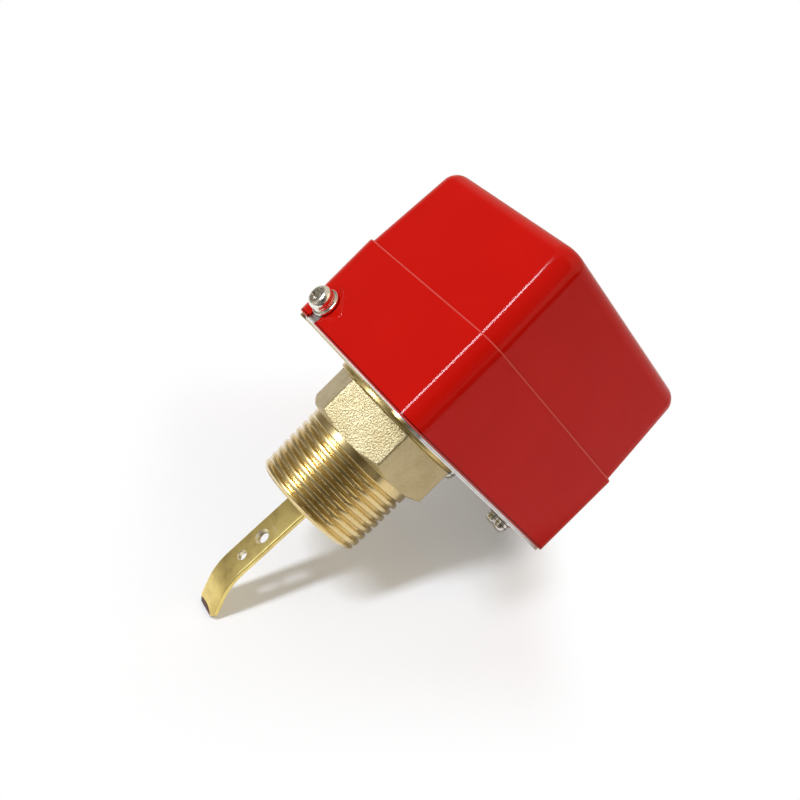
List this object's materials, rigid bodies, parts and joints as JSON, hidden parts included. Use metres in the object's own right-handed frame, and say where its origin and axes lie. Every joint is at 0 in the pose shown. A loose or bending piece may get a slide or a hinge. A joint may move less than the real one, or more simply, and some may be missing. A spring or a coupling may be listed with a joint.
{
  "type": "paddle flow switch",
  "caption": "Paddle flow switch: a brass pipe body with a bellows-sealed curved paddle arm works a snap switch under a stepped steel cover.",
  "frame": {"origin": "on the pipe thread's axis, at the shoulder where the hexagon begins", "axes": "+Z along the pipe thread's axis, away from the pipe and up through the cover; +X is the way the water flows and the cover's long side; +Y across the flow, along the pivot pin"},
  "size_m": [0.0839, 0.0628, 0.1298],
  "materials": {
    "cast_brass": "sand-cast faces, turned thread",
    "sheet_brass": "rolled, lightly scratched",
    "bronze": "drawn, satin",
    "red_paint": "glossy stoved enamel",
    "zinc": "bright zinc plate",
    "nickel": "nickel plate",
    "spring_steel": "ground",
    "phenolic": "moulded, satin",
    "insulation": "pressed board",
    "button_plastic": "moulded",
    "rubber": "matt"
  },
  "bodies": {
    "housing": {"brass_body": "cast_brass", "pivot_flange": "sheet_brass", "pivot_pin": "spring_steel", "flange_screws": "nickel", "bellows": "bronze", "base_plate": "zinc", "switch_bracket": "zinc", "bracket_screws": "nickel", "bracket_spring_washers": "nickel", "bracket_flat_washers": "nickel", "switch_case": "phenolic", "lever_pin": "spring_steel", "insulating_sheet": "insulation", "switch_screws": "nickel", "switch_nuts": "nickel", "terminals": "sheet_brass", "terminal_screws": "nickel", "earth_washer": "nickel", "earth_screw": "nickel", "cover_flat_washers": "nickel", "cover_spring_washers": "nickel", "cover_screws": "nickel", "range_spring": "spring_steel"},
    "paddle": {"paddle_arm": "sheet_brass", "paddle_stem": "sheet_brass", "arm_rivets": "bronze", "bellows_cap": "bronze", "rocker": "zinc"},
    "lever": {"switch_lever": "spring_steel"},
    "button": {"switch_button": "button_plastic"},
    "adjuster": {"adjusting_screw": "nickel"},
    "seat": {"spring_seat": "sheet_brass"},
    "cover": {"cover": "red_paint", "cable_grommet": "rubber"}
  },
  "joints": [
    {"name": "paddle_swing", "type": "hinge", "parent": "housing", "child": "paddle", "pos_m": [0, 0, 0.019], "axis": [0, -1, 0], "range_deg": [0, 7], "stiffness_Nm_per_rad": 0.3, "springref_deg": -11.46, "deforming": ["range_spring", "bellows"]},
    {"name": "lever_swing", "type": "hinge", "parent": "housing", "child": "lever", "pos_m": [0.0433, 0, 0.033], "axis": [0, 1, 0], "range_deg": [0, 8.8]},
    {"name": "button_press", "type": "slide", "parent": "housing", "child": "button", "axis": [0, 0, 1], "range_m": [0, 0.001]},
    {"name": "range_adjust", "type": "hinge", "parent": "housing", "child": "adjuster", "pos_m": [0.012, 0, 0.045], "axis": [0, 0, 1], "range_deg": [-1080, 1080]},
    {"name": "seat_travel", "type": "slide", "parent": "housing", "child": "seat", "axis": [0, 0, 1], "range_m": [-0.0021, 0.0021]},
    {"name": "cover_lift", "type": "slide", "parent": "housing", "child": "cover", "axis": [0, 0, 1], "range_m": [0, 0.08]}
  ],
  "couplings": [
    {"joint": "lever_swing", "follows": "paddle_swing", "ratio": 1.24},
    {"joint": "button_press", "follows": "paddle_swing", "m_per_rad": 0.00786},
    {"joint": "range_adjust", "follows": "seat_travel", "rad_per_m": -8976}
  ]
}
